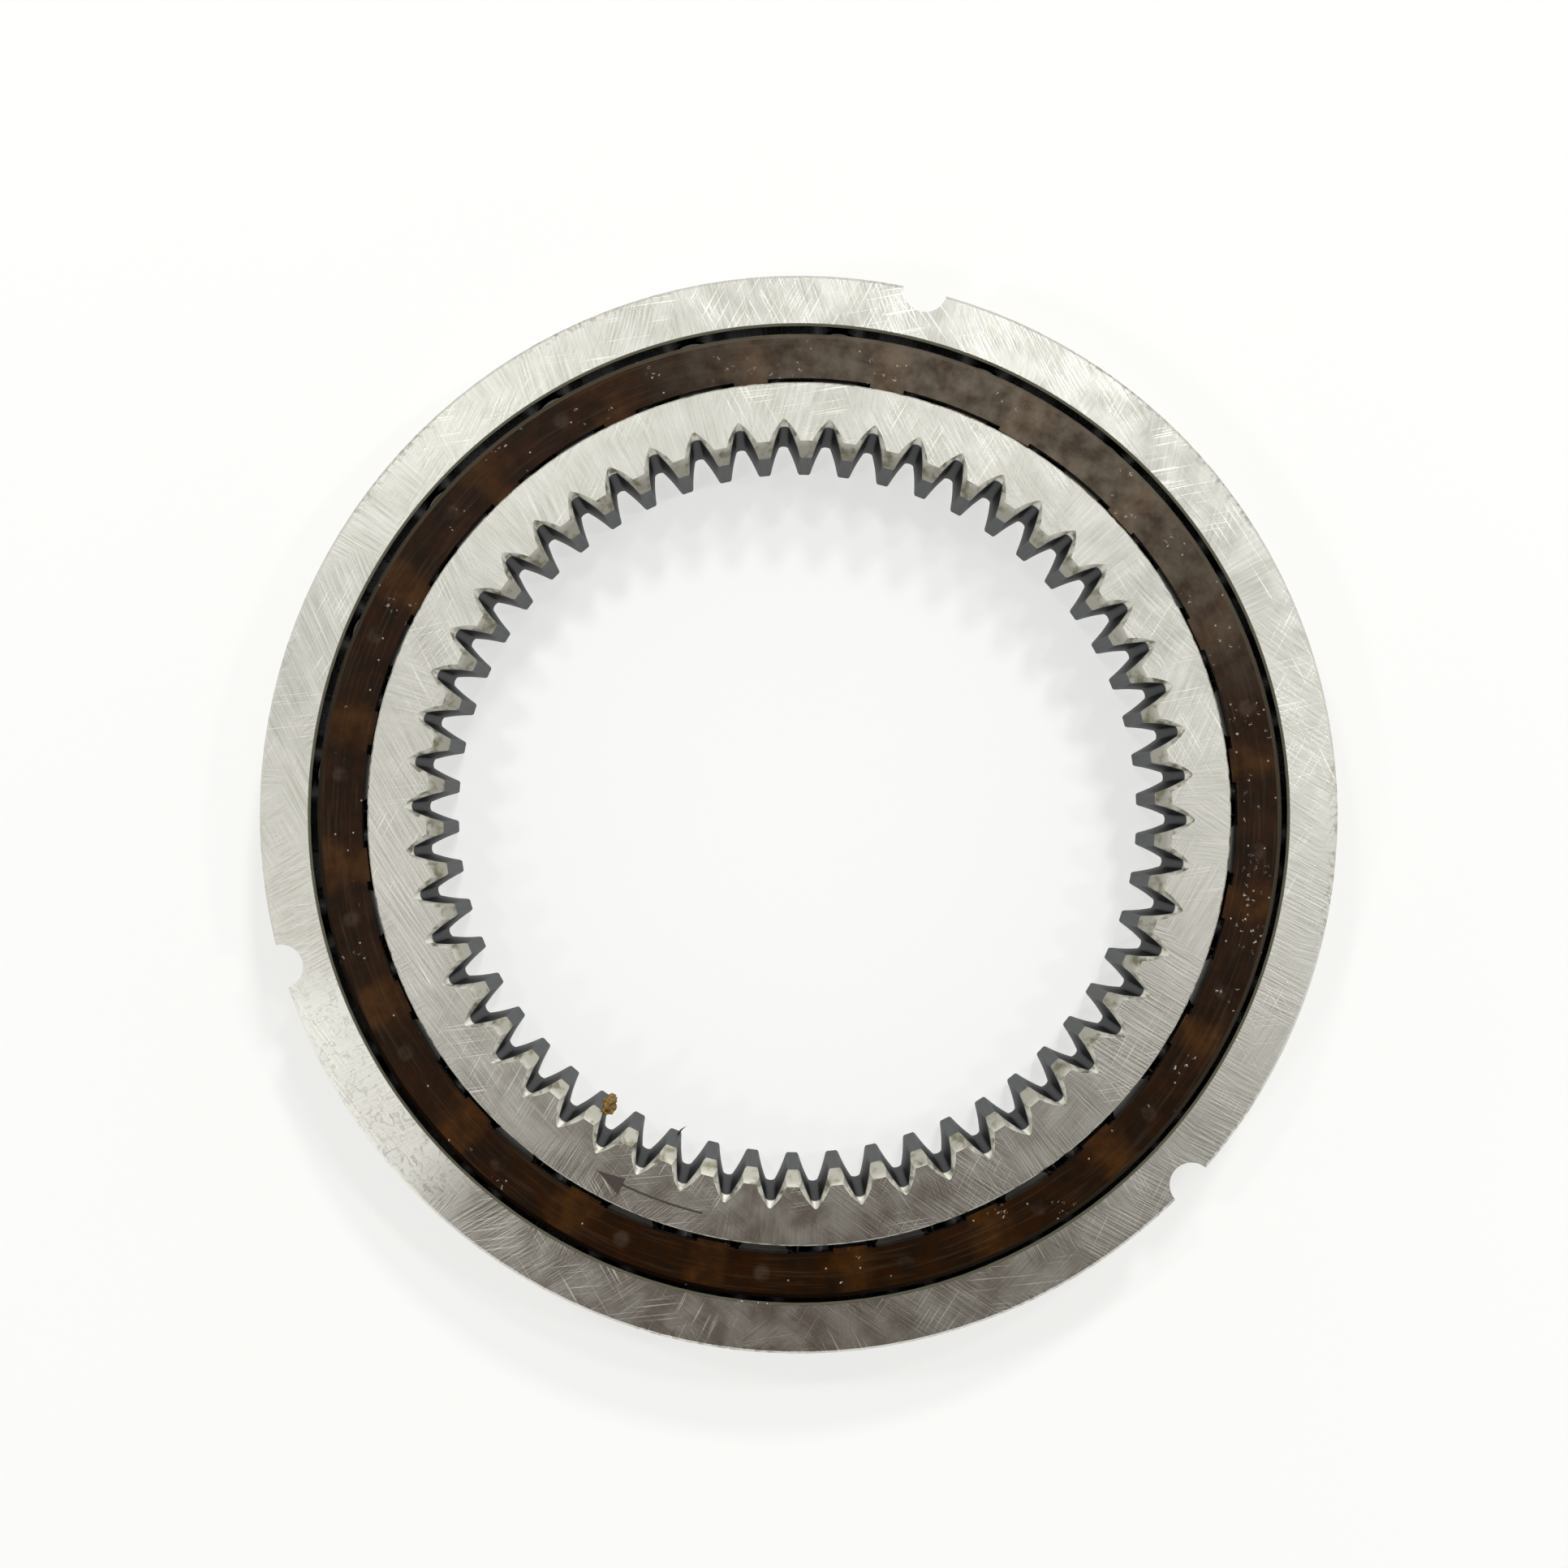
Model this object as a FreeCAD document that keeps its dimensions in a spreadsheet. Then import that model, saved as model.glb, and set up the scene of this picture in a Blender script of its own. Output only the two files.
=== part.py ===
# An internal ring gear that is the inner ring of a one-way roller clutch. Lengths are in millimetres.
#
# The outer race is a plain ring, keyed in its housing by three half-round notches. The ring gear runs
# inside it on rollers. A moulded cage spaces the rollers, and a folded strip spring beside each one pushes
# it up a ramp on the gear, towards the narrow end of the space between ramp and bore. When the gear turns
# clockwise, seen from above, its rollers are dragged off their ramps and it runs free. When it is turned
# the other way they wedge, and the two rings lock.
#
# The origin is the centre of the lower face. +Z is the axis of both rings, and the first notch is on +Y.
import FreeCAD, Part
import math
import os

import Sketcher
from FreeCAD import Placement, Rotation, Vector

UP = Vector(0, 0, 1)

# Driving sizes, from the teeth outwards
SIZES = [
    ("gear_module", 1.25, "module of the internal teeth"),
    ("gear_teeth", 54, "number of internal teeth"),
    ("pressure_angle", 20, "pressure angle of the teeth, in degrees"),
    ("tooth_backlash", 0.05, "extra width of a tooth space at the pitch circle"),
    ("tooth_foot", 1.25, "depth of a tooth space outside the pitch circle, in modules"),
    ("root_blend", 0.2, "length of the blend between a flank and the root"),
    ("tip_round", 0.28, "rounding of the corners at the tooth tips"),
    ("mouth_bevel", 0.45, "bevel along the edges of a tooth space, at both faces"),
    ("mouth_reach", 0.6, "how far the point of that bevel lies outside the root"),
    ("lead_in_width", 1.4, "radial width of the cone at the tooth tips"),
    ("lead_in_depth", 1.0, "depth of that cone along the axis"),
    ("gear_wall", 3.9375, "rim of the ring gear, from the roots to its outside"),
    ("gear_bevel", 0.12, "edge bevel on the outside of the ring gear"),
    ("roller_sink", 0.85, "how deep a roller lies inside the outside circle of the ring gear"),
    ("race_wall", 4.6, "wall of the outer race"),
    ("race_width", 12, "width of both rings"),
    ("race_bevel", 0.25, "edge bevel on the rim of the outer race"),
    ("bore_bevel", 0.2, "edge bevel in the bore of the outer race"),
    ("notch_count", 3, "number of notches in the rim"),
    ("notch_radius", 2, "radius of a notch, whose centre is on the rim"),
    ("roller_diameter", 6, "diameter of a roller"),
    ("pocket_count", 20, "number of rollers, each in a pocket with its spring"),
    ("roller_bevel", 0.3, "edge bevel of a roller"),
    ("roller_fit", 0.02, "clearance between a roller and each ring"),
    ("end_float", 0.08, "clearance between the end of a roller and the end of its ramp"),
    ("ramp_land", 1.35, "plain land at each face, past the end of the ramps"),
    ("ramp_angle", 5.6, "angle between a ramp and the bore at the roller, in degrees"),
    ("ramp_run_on", 2.2, "how far a ramp runs on past its roller at the narrow end"),
    ("bridge_width", 3.1, "width of a bridge of the cage"),
    ("stop_gap", 0.3, "clearance between a roller and the bridge that it is pushed towards"),
    ("cage_recess", 0.5, "depth of the cage below the faces of the rings"),
    ("cage_inner_gap", 0.62, "gap between the cage and the ring gear"),
    ("cage_outer_gap", 0.4, "gap between the cage and the bore"),
    ("cage_bevel", 0.45, "bevel on the outer edges of the cage"),
    ("tab_clearance", 0.25, "clearance between a tab of the cage and the ring gear"),
    ("window_float", 0.12, "clearance between the end of a roller and its window"),
    ("cage_shift", 0.18, "how far the loose cage lies off centre"),
    ("cage_shift_angle", -56, "direction in which the cage lies off centre, in degrees"),
    ("strip_thickness", 0.2, "thickness of the spring strip"),
    ("strip_width", 7, "width of the spring strip, along the axis"),
    ("strip_inner_gap", 0.33, "gap between the outside of the ring gear and the corners of a spring"),
    ("strip_outer_gap", 1.22, "gap between the bore and the corners of a spring"),
    ("fold_radius", 0.4, "radius of a fold of the spring, at the middle of the strip"),
    ("seat_clearance", 0.25, "clearance between a spring and the bridge that backs it"),
    ("touch_clearance", 0.05, "clearance between a spring and its roller"),
    ("gear_phase", 5.8, "angle of the first tooth space, in degrees"),
    ("pocket_phase", 8.75, "angle of the first roller, in degrees"),
]

doc = FreeCAD.newDocument("RollerClutchGear")
sheet = doc.addObject("Spreadsheet::Sheet", "sizes")
for row, (alias, number, meaning) in enumerate(SIZES, start=1):
    sheet.set(f"A{row}", alias)
    sheet.set(f"B{row}", str(number))
    sheet.set(f"C{row}", meaning)
    sheet.setAlias(f"B{row}", alias)
doc.recompute()

# Sizes that follow from them, each an expression on the sheet
PITCH_RADIUS = "(sizes.gear_module * sizes.gear_teeth / 2)"
TIP_RADIUS = f"({PITCH_RADIUS} - sizes.gear_module)"
ROOT_RADIUS = f"({PITCH_RADIUS} + sizes.gear_module * sizes.tooth_foot)"
GEAR_RADIUS = f"({ROOT_RADIUS} + sizes.gear_wall)"
RACE_GAP = "(sizes.roller_diameter - sizes.roller_sink)"
BORE_RADIUS = f"({GEAR_RADIUS} + {RACE_GAP})"
RIM_RADIUS = f"({BORE_RADIUS} + sizes.race_wall)"
ROLLER_RADIUS = "(sizes.roller_diameter / 2)"
ORBIT_RADIUS = f"({BORE_RADIUS} - {ROLLER_RADIUS} - sizes.roller_fit)"
RAMP_LENGTH = "(sizes.race_width - 2 * sizes.ramp_land)"
RAMP_DISTANCE = f"({ORBIT_RADIUS} * cos(sizes.ramp_angle) - {ROLLER_RADIUS} - sizes.roller_fit)"
ROLLER_LENGTH = f"({RAMP_LENGTH} - 2 * sizes.end_float)"
WINDOW_LENGTH = f"({ROLLER_LENGTH} + 2 * sizes.window_float)"
CAGE_INNER = f"({GEAR_RADIUS} + sizes.cage_inner_gap)"
CAGE_OUTER = f"({BORE_RADIUS} - sizes.cage_outer_gap)"
CAGE_TOP = "(sizes.race_width - sizes.cage_recess)"
HALF_BRIDGE = "(sizes.bridge_width / 2)"
SPRING_INNER = f"({GEAR_RADIUS} + sizes.strip_inner_gap)"
SPRING_OUTER = f"({BORE_RADIUS} - sizes.strip_outer_gap)"
POCKET_PITCH = "(360 / sizes.pocket_count)"
# Angles at a roller, in degrees: back to the bridge that stops it, and on to the one that backs its spring
STOP_ANGLE = f"(({ROLLER_RADIUS} + sizes.stop_gap + {HALF_BRIDGE}) / {ORBIT_RADIUS} * 180 / pi)"
BACK_ANGLE = f"({POCKET_PITCH} - {STOP_ANGLE})"
# How far the poles of a rounding's curve reach towards the corner that it replaces, close to a round arc
ROUND_PULL = 0.6


def worked(expression):
    """The value of an expression, as a plain number."""
    return float(sheet.evalExpression(expression))


def polar(radius, degrees):
    turn = math.radians(degrees)
    return Vector(radius * math.cos(turn), radius * math.sin(turn), 0)


def new_body(name):
    body = doc.addObject("PartDesign::Body", name)
    body.Label = name
    return body


def origin_feature(body, role):
    return next(feature for feature in body.Origin.OriginFeatures if feature.Role == role)


def new_sketch(body, name, role="XY_Plane", height=None, turn=None):
    """A sketch on one of the body's own planes, which expressions can raise and turn about Z."""
    sketch = body.newObject("Sketcher::SketchObject", name)
    sketch.AttachmentSupport = [(origin_feature(body, role), "")]
    sketch.MapMode = "FlatFace"
    sketch.AttachmentOffset = Placement(Vector(), Rotation(UP, 0))
    if height:
        sketch.setExpression("AttachmentOffset.Base.z", height)
    if turn:
        sketch.setExpression("AttachmentOffset.Rotation.Angle", turn)
    return sketch


def hold_point(sketch, geometry, vertex, point, expressions):
    """Holds a vertex of a sketch at its two dimensions from the origin. None puts it on that axis."""
    along_x = ("DistanceX", -2, point.x, expressions[0])
    along_y = ("DistanceY", -1, point.y, expressions[1])
    for kind, axis, size, expression in (along_x, along_y):
        if expression is None:
            sketch.addConstraint(Sketcher.Constraint("PointOnObject", geometry, vertex, axis))
        else:
            held = sketch.addConstraint(Sketcher.Constraint(kind, -1, 1, geometry, vertex, size))
            sketch.setExpression(f"Constraints[{held}]", expression)


def draw_polygon(sketch, corners):
    points = [Vector(worked(x or "0"), worked(y or "0"), 0) for x, y in corners]
    lines = [Part.LineSegment(start, end) for start, end in zip(points, points[1:] + points[:1])]
    sketch.addGeometry(lines, False)
    for i, corner in enumerate(corners):
        sketch.addConstraint(Sketcher.Constraint("Coincident", i, 2, (i + 1) % len(corners), 1))
        hold_point(sketch, i, 1, points[i], corner)


def draw_circle(sketch, x, y, radius):
    centre = Vector(worked(x or "0"), worked(y or "0"), 0)
    circle = sketch.addGeometry(Part.Circle(centre, UP, worked(radius)), False)
    held = sketch.addConstraint(Sketcher.Constraint("Radius", circle, worked(radius)))
    sketch.setExpression(f"Constraints[{held}]", radius)
    hold_point(sketch, circle, 3, centre, (x, y))


def revolve(body, name, corners):
    """Turns a half-section, given as pairs of radius and height, once round Z."""
    sketch = new_sketch(body, name + "_section", "XZ_Plane")
    draw_polygon(sketch, corners)
    turned = body.newObject("PartDesign::Revolution", name)
    turned.Profile = sketch
    turned.ReferenceAxis = (sketch, ["V_Axis"])
    turned.Angle = 360
    doc.recompute()


def expect_change(body, name, before, sign):
    doc.recompute()
    if sign * (body.Shape.Volume - before) <= 0:
        raise RuntimeError(f"{name} doesn't change the volume as it should")


def cut_up(body, name, sketch, length):
    """Cuts the outline of a sketch out of the body, from the sketch's plane upwards."""
    before = body.Shape.Volume
    pocket = body.newObject("PartDesign::Pocket", name)
    pocket.Profile = sketch
    pocket.Reversed = True
    pocket.setExpression("Length", length)
    expect_change(body, name, before, -1)
    return pocket


def pad_up(body, name, sketch, length):
    before = body.Shape.Volume
    pad = body.newObject("PartDesign::Pad", name)
    pad.Profile = sketch
    pad.setExpression("Length", length)
    expect_change(body, name, before, 1)
    return pad


def repeat_round(body, name, originals, count):
    """Repeats features round Z, and makes the result the body's shape."""
    pattern = body.newObject("PartDesign::PolarPattern", name)
    pattern.Originals = originals
    pattern.Axis = (origin_feature(body, "Z_Axis"), [""])
    pattern.Angle = 360
    pattern.setExpression("Occurrences", count)
    body.Tip = pattern
    doc.recompute()


def place_piece(piece, turn, x=None, y=None):
    """Turns a finished piece about Z, and moves it sideways."""
    piece.Placement = Placement(Vector(), Rotation(UP, 1))
    piece.setExpression("Placement.Rotation.Angle", turn)
    if x:
        piece.setExpression("Placement.Base.x", x)
        piece.setExpression("Placement.Base.y", y)


# Outer race: a turned and ground ring with half-round notches milled into its rim
def make_outer_race():
    body = new_body("outer_race")
    revolve(body, "race_blank", [
        (f"{BORE_RADIUS} + sizes.bore_bevel", None),
        (f"{RIM_RADIUS} - sizes.race_bevel", None),
        (RIM_RADIUS, "sizes.race_bevel"),
        (RIM_RADIUS, "sizes.race_width - sizes.race_bevel"),
        (f"{RIM_RADIUS} - sizes.race_bevel", "sizes.race_width"),
        (f"{BORE_RADIUS} + sizes.bore_bevel", "sizes.race_width"),
        (BORE_RADIUS, "sizes.race_width - sizes.bore_bevel"),
        (BORE_RADIUS, "sizes.bore_bevel"),
    ])
    outline = new_sketch(body, "notch_outline")
    draw_circle(outline, None, RIM_RADIUS, "sizes.notch_radius")
    notch = cut_up(body, "notch", outline, "sizes.race_width")
    repeat_round(body, "notches", [notch], "sizes.notch_count")
    return body


def space_half_angle(radius):
    """Half the width of a tooth space at a radius, in degrees, between two involute flanks."""
    pressure = math.radians(worked("sizes.pressure_angle"))
    pitch = worked(PITCH_RADIUS)
    local = math.acos(min(1, pitch * math.cos(pressure) / radius))
    at_pitch = math.pi / 2 / worked("sizes.gear_teeth") + worked("sizes.tooth_backlash") / 2 / pitch
    return math.degrees(at_pitch + math.tan(pressure) - pressure - math.tan(local) + local)


def bezier(*poles):
    curve = Part.BezierCurve()
    curve.setPoles(list(poles))
    return curve.toBSpline()


def draw_spaces(sketch, half_angle, end, root_angle):
    """The outline of all tooth spaces, out to the radius end, closed inside the tooth tips. half_angle gives
    the width of a space between its flanks, and root_angle that of its root, in degrees. Each flank is a
    cubic that leaves and arrives in the flank's true direction, and the root is one flat-bottomed cubic.
    A rounding leads each flank over the corner of the tooth tip, and takes at most half of the tip."""
    tip, tip_round = worked(TIP_RADIUS), worked("sizes.tip_round")
    start = tip + tip_round
    inside = tip - tip_round / 6
    blend = worked("sizes.root_blend")
    flank_end = end - blend
    third = (flank_end - start) / 3
    step = third / 100
    pitch = 360 / worked("sizes.gear_teeth")
    mouth = half_angle(inside)
    round_foot = mouth + min(math.degrees(tip_round / tip), (pitch / 2 - mouth) / 2)
    outline = []
    for tooth in range(round(worked("sizes.gear_teeth"))):
        turn = tooth * pitch
        feet = []
        for side in (1, -1):
            first, second, third_last, last = (
                polar(radius, turn + side * half_angle(radius))
                for radius in (start, start + step, flank_end - step, flank_end))
            leave, arrive = (second - first) * (third / step), (last - third_last) * (third / step)
            corner = first - leave * ((start - inside) / third)
            foot = polar(inside, turn + side * round_foot)
            outline.append(bezier(foot, foot + (corner - foot) * ROUND_PULL,
                                  first + (corner - first) * ROUND_PULL, first))
            outline.append(bezier(first, first + leave, last - arrive, last))
            feet += [last, polar(end + blend / 3, turn + side * root_angle)]
        outline.append(bezier(feet[0], feet[1], feet[3], feet[2]))
        link_start, link_end = (polar(inside, turn + angle) for angle in (round_foot, pitch - round_foot))
        outline.append(Part.LineSegment(link_start, link_end))
    sketch.addGeometry(outline, False)


def draw_plain_spaces(sketch):
    """The tooth spaces between their bevels, with nearly flat roots."""
    root = worked(ROOT_RADIUS)
    draw_spaces(sketch, space_half_angle, root, space_half_angle(root))


def draw_bevelled_spaces(sketch):
    """The tooth spaces at a face of the gear. Their bevel is widest at the tips, and ends in a point."""
    tip = worked(TIP_RADIUS)
    point = worked(f"{ROOT_RADIUS} + sizes.mouth_reach")

    def half_angle(radius):
        share = (radius - tip) / (point - tip)
        bevel = worked("sizes.mouth_bevel") * (1 - share ** 4)
        return space_half_angle(radius) + math.degrees(bevel / radius)

    draw_spaces(sketch, half_angle, point, space_half_angle(worked(ROOT_RADIUS)) / 3)


def bevel_spaces(body, name, plain_height, face_height):
    """Cuts the bevels of the teeth, from the plain outline out to the one at a face."""
    plain = new_sketch(body, name + "_inner", height=plain_height)
    draw_plain_spaces(plain)
    wide = new_sketch(body, name + "_outer", height=face_height)
    draw_bevelled_spaces(wide)
    before = body.Shape.Volume
    loft = body.newObject("PartDesign::SubtractiveLoft", name)
    loft.Profile = plain
    loft.Sections = [wide]
    loft.Ruled = True
    expect_change(body, name, before, -1)


# Ring gear: the inner ring of the clutch, with ramps outside and teeth inside
def make_ring_gear():
    body = new_body("ring_gear")
    cone = f"{TIP_RADIUS} + sizes.lead_in_width"
    revolve(body, "gear_blank", [
        (cone, None),
        (f"{GEAR_RADIUS} - sizes.gear_bevel", None),
        (GEAR_RADIUS, "sizes.gear_bevel"),
        (GEAR_RADIUS, "sizes.race_width - sizes.gear_bevel"),
        (f"{GEAR_RADIUS} - sizes.gear_bevel", "sizes.race_width"),
        (cone, "sizes.race_width"),
        (TIP_RADIUS, "sizes.race_width - sizes.lead_in_depth"),
        (TIP_RADIUS, "sizes.lead_in_depth"),
    ])

    # Each ramp is a flat, square to the turned X axis, between two plain lands
    turn = "sizes.pocket_phase - sizes.gear_phase + sizes.ramp_angle"
    ramp = new_sketch(body, "ramp_outline", height="sizes.ramp_land", turn=turn)
    contact = f"{ORBIT_RADIUS} * sin(sizes.ramp_angle)"
    deep_end = f"{GEAR_RADIUS} * sin({BACK_ANGLE} - sizes.ramp_angle) - {HALF_BRIDGE}"
    outside = f"{GEAR_RADIUS} + {RACE_GAP} / 2"
    draw_polygon(ramp, [
        (RAMP_DISTANCE, f"-({contact} + sizes.ramp_run_on)"),
        (outside, f"-({contact} + sizes.ramp_run_on)"),
        (outside, deep_end),
        (RAMP_DISTANCE, deep_end),
    ])
    cut = cut_up(body, "ramp", ramp, RAMP_LENGTH)
    repeat_round(body, "ramps", [cut], "sizes.pocket_count")

    outline = new_sketch(body, "space_outline")
    draw_plain_spaces(outline)
    cut_up(body, "tooth_spaces", outline, "sizes.race_width")
    bevel_spaces(body, "lower_bevels", "sizes.mouth_bevel", None)
    bevel_spaces(body, "upper_bevels", "sizes.race_width - sizes.mouth_bevel", "sizes.race_width")
    place_piece(body, "sizes.gear_phase")
    return body


# Cage: one moulding with two end rims, and bridges whose tabs ride on the lands of the ring gear
def make_roller_cage():
    body = new_body("roller_cage")
    revolve(body, "cage_blank", [
        (CAGE_INNER, "sizes.cage_recess"),
        (f"{CAGE_OUTER} - sizes.cage_bevel", "sizes.cage_recess"),
        (CAGE_OUTER, "sizes.cage_recess + sizes.cage_bevel"),
        (CAGE_OUTER, f"{CAGE_TOP} - sizes.cage_bevel"),
        (f"{CAGE_OUTER} - sizes.cage_bevel", CAGE_TOP),
        (CAGE_INNER, CAGE_TOP),
    ])

    tab_face = f"{GEAR_RADIUS} + sizes.tab_clearance"
    tab_root = f"{CAGE_INNER} + sizes.tab_clearance"
    tab_outline = new_sketch(body, "tab_outline", height="sizes.cage_recess")
    draw_polygon(tab_outline, [
        (tab_face, f"-{HALF_BRIDGE}"),
        (tab_root, f"-{HALF_BRIDGE}"),
        (tab_root, HALF_BRIDGE),
        (tab_face, HALF_BRIDGE),
    ])
    tab = pad_up(body, "tab", tab_outline, f"{CAGE_TOP} - sizes.cage_recess")
    repeat_round(body, "tabs", [tab], "sizes.pocket_count")

    # A window lies between two bridges with parallel sides, so its own sides lean with each bridge
    inside = f"({GEAR_RADIUS} - {RACE_GAP})"
    outside = f"({BORE_RADIUS} + sizes.race_wall)"
    across, along = f"sin({POCKET_PITCH})", f"cos({POCKET_PITCH})"

    def beside_next_bridge(radius):
        return (f"{radius} * {along} + {HALF_BRIDGE} * {across}",
                f"{radius} * {across} - {HALF_BRIDGE} * {along}")

    window = new_sketch(body, "window_outline", height=f"(sizes.race_width - {WINDOW_LENGTH}) / 2")
    draw_polygon(window, [
        (inside, HALF_BRIDGE),
        (outside, HALF_BRIDGE),
        beside_next_bridge(outside),
        beside_next_bridge(inside),
    ])
    opening = cut_up(body, "window", window, WINDOW_LENGTH)
    repeat_round(body, "windows", [opening], "sizes.pocket_count")
    place_piece(body, f"sizes.pocket_phase - {STOP_ANGLE}", "sizes.cage_shift * cos(sizes.cage_shift_angle)",
                "sizes.cage_shift * sin(sizes.cage_shift_angle)")
    return body


# Rollers: ground pins with bevelled ends, one in each window of the cage
def make_roller(index):
    body = new_body(f"roller_{index + 1:02d}")
    foot = f"(sizes.race_width - {ROLLER_LENGTH}) / 2"
    head = f"(sizes.race_width + {ROLLER_LENGTH}) / 2"
    revolve(body, f"pin_{index + 1:02d}", [
        (None, foot),
        (f"{ROLLER_RADIUS} - sizes.roller_bevel", foot),
        (ROLLER_RADIUS, f"{foot} + sizes.roller_bevel"),
        (ROLLER_RADIUS, f"{head} - sizes.roller_bevel"),
        (f"{ROLLER_RADIUS} - sizes.roller_bevel", head),
        (None, head),
    ])
    angle = f"sizes.pocket_phase + {index} * {POCKET_PITCH}"
    place_piece(body, angle, f"{ORBIT_RADIUS} * cos({angle})", f"{ORBIT_RADIUS} * sin({angle})")
    return body


def rounded_path(points, radius):
    """A wire through points, with an arc of one radius at each corner between straight runs."""
    edges = []
    start = points[0]
    for before, corner, after in zip(points, points[1:], points[2:]):
        back = (before - corner).normalize()
        onward = (after - corner).normalize()
        half = back.getAngle(onward) / 2
        middle = (back + onward).normalize()
        trim = radius / math.tan(half)
        arc_start, arc_end = corner + back * trim, corner + onward * trim
        arc_middle = corner + middle * (radius / math.sin(half) - radius)
        edges.append(Part.LineSegment(start, arc_start).toShape())
        edges.append(Part.Arc(arc_start, arc_middle, arc_end).toShape())
        start = arc_end
    edges.append(Part.LineSegment(start, points[-1]).toShape())
    return Part.Wire(edges)


# Springs: a strip folded twice, whose first leaf lies on a bridge and whose last one lies on the roller
def make_spring(index):
    half_strip = worked("sizes.strip_thickness") / 2
    inner, outer = worked(SPRING_INNER), worked(SPRING_OUTER)
    back = Placement(Vector(), Rotation(UP, worked(BACK_ANGLE)))
    back_offset = -worked(f"{HALF_BRIDGE} + sizes.seat_clearance") - half_strip
    touch_offset = worked(f"{ROLLER_RADIUS} + sizes.touch_clearance") + half_strip
    path = rounded_path([
        back.multVec(Vector(outer, back_offset, 0)),
        back.multVec(Vector(inner, back_offset, 0)),
        Vector(outer, touch_offset, 0),
        Vector(inner, touch_offset, 0),
    ], worked("sizes.fold_radius"))
    strip = Part.Face(path.makeOffset2D(half_strip, 0, False, False, False))
    spring = doc.addObject("Part::Feature", f"spring_{index + 1:02d}")
    spring.Label = spring.Name
    spring.Shape = strip.extrude(UP * worked("sizes.strip_width"))
    turn = worked(f"sizes.pocket_phase + {index} * {POCKET_PITCH}")
    foot = worked("(sizes.race_width - sizes.strip_width) / 2")
    spring.Placement = Placement(Vector(0, 0, foot), Rotation(UP, turn))
    return spring


pieces = [make_outer_race(), make_ring_gear(), make_roller_cage()]
pocket_count = round(worked("sizes.pocket_count"))
pieces += [make_roller(i) for i in range(pocket_count)]
pieces += [make_spring(i) for i in range(pocket_count)]
doc.recompute()

for item in doc.Objects:
    if {"Invalid", "Error"} & set(item.State):
        raise RuntimeError(f"{item.Label} failed: {item.State}")
for piece in pieces:
    if piece.Shape.isNull() or not piece.Shape.isValid() or len(piece.Shape.Solids) != 1:
        raise RuntimeError(f"{piece.Label} isn't one sound solid")

os.makedirs("parts", exist_ok=True)
for piece in pieces:
    piece.Shape.exportStep(f"parts/{piece.Label}.step")
print(f"{len(pieces)} pieces, rim {2 * worked(RIM_RADIUS):.2f} mm, {pocket_count} rollers")
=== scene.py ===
# %% [markdown]
# # A ring gear that turns inside a one-way roller clutch
#
# The object is a flat steel assembly, 98 mm across: an outer race with three notches, an amber cage full
# of rollers, and an inner ring with gear teeth. It lies on a pale table, and the camera looks down on it.
#
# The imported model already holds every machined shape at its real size, so those meshes stay as they are.
# The work here is what machining, oil and use leave on them. Each finish is drawn by nodes from real sizes
# in millimetres, and four small things are meshes: a burnt arrow, a crumb of grease, a burr and some chips.

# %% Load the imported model
import math
import random

import bmesh
import bpy
from mathutils import Matrix, Vector, noise


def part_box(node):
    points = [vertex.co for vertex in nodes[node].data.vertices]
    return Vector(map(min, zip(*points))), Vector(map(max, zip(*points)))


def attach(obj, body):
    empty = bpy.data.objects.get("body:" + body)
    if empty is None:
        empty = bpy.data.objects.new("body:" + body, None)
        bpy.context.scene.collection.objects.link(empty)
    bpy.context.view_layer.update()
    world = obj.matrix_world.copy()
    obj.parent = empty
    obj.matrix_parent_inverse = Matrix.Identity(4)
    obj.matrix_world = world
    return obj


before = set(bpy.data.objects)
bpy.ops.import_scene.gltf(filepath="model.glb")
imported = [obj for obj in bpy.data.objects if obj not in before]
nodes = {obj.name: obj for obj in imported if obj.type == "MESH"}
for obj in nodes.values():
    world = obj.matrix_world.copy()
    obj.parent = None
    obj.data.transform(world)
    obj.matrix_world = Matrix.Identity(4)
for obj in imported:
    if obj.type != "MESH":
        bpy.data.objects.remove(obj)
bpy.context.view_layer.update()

# %% [markdown]
# ## Sizes that the finishes share
#
# Blender works in metres, and a finish is easier to think of in millimetres, so one factor turns the one
# into the other. The heights are read from the model, so that marks stay on their pieces.
#
# The photograph is turned against the model, about the upright axis. Places on it are easiest to give the
# way a clock hand moves, from its right-hand side, and one function turns such an angle into the model's.

# %% Radii, heights and directions
MM = 0.001
FACE_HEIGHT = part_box("outer_race")[1].z
CAGE_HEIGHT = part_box("roller_cage")[1].z
GEAR_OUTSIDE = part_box("ring_gear")[1].x
TOOTH_TIP = 32.5 * MM
TOOTH_ROOT = 35.3 * MM
BORE = 44.4 * MM
RIM = 49 * MM
ROLLERS = sum(name.startswith("roller_") and name[-2:].isdigit() for name in nodes)
PHOTO_TURN = math.radians(13.5)


def clock(degrees):
    """The model's angle, in radians, of a place given clockwise from the right of the photograph."""
    return PHOTO_TURN - math.radians(degrees)


def on_face(degrees, radius, height=FACE_HEIGHT):
    return Vector((radius * math.cos(clock(degrees)), radius * math.sin(clock(degrees)), height))


print("rollers:", ROLLERS)
print("heights in mm: face", round(FACE_HEIGHT / MM, 2), "cage", round(CAGE_HEIGHT / MM, 2))

# %% [markdown]
# ## Helpers for materials
#
# Paint charts and picture editors give colours as sRGB hex values, and shaders take linear ones. The first
# helper turns the one into the other. The second adds any shader node: its settings go in by name, and each
# input takes either a value or the output of another node. It gives back the new node's first output in
# use, because that is nearly always the one that is wanted next. The third starts an empty material.
#
# The last makes a whole plain material. Rolling, grinding and tearing all leave a grain, long one way and
# fine the other, so one noise, drawn out to the size of that grain, varies both colour and roughness.

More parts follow.
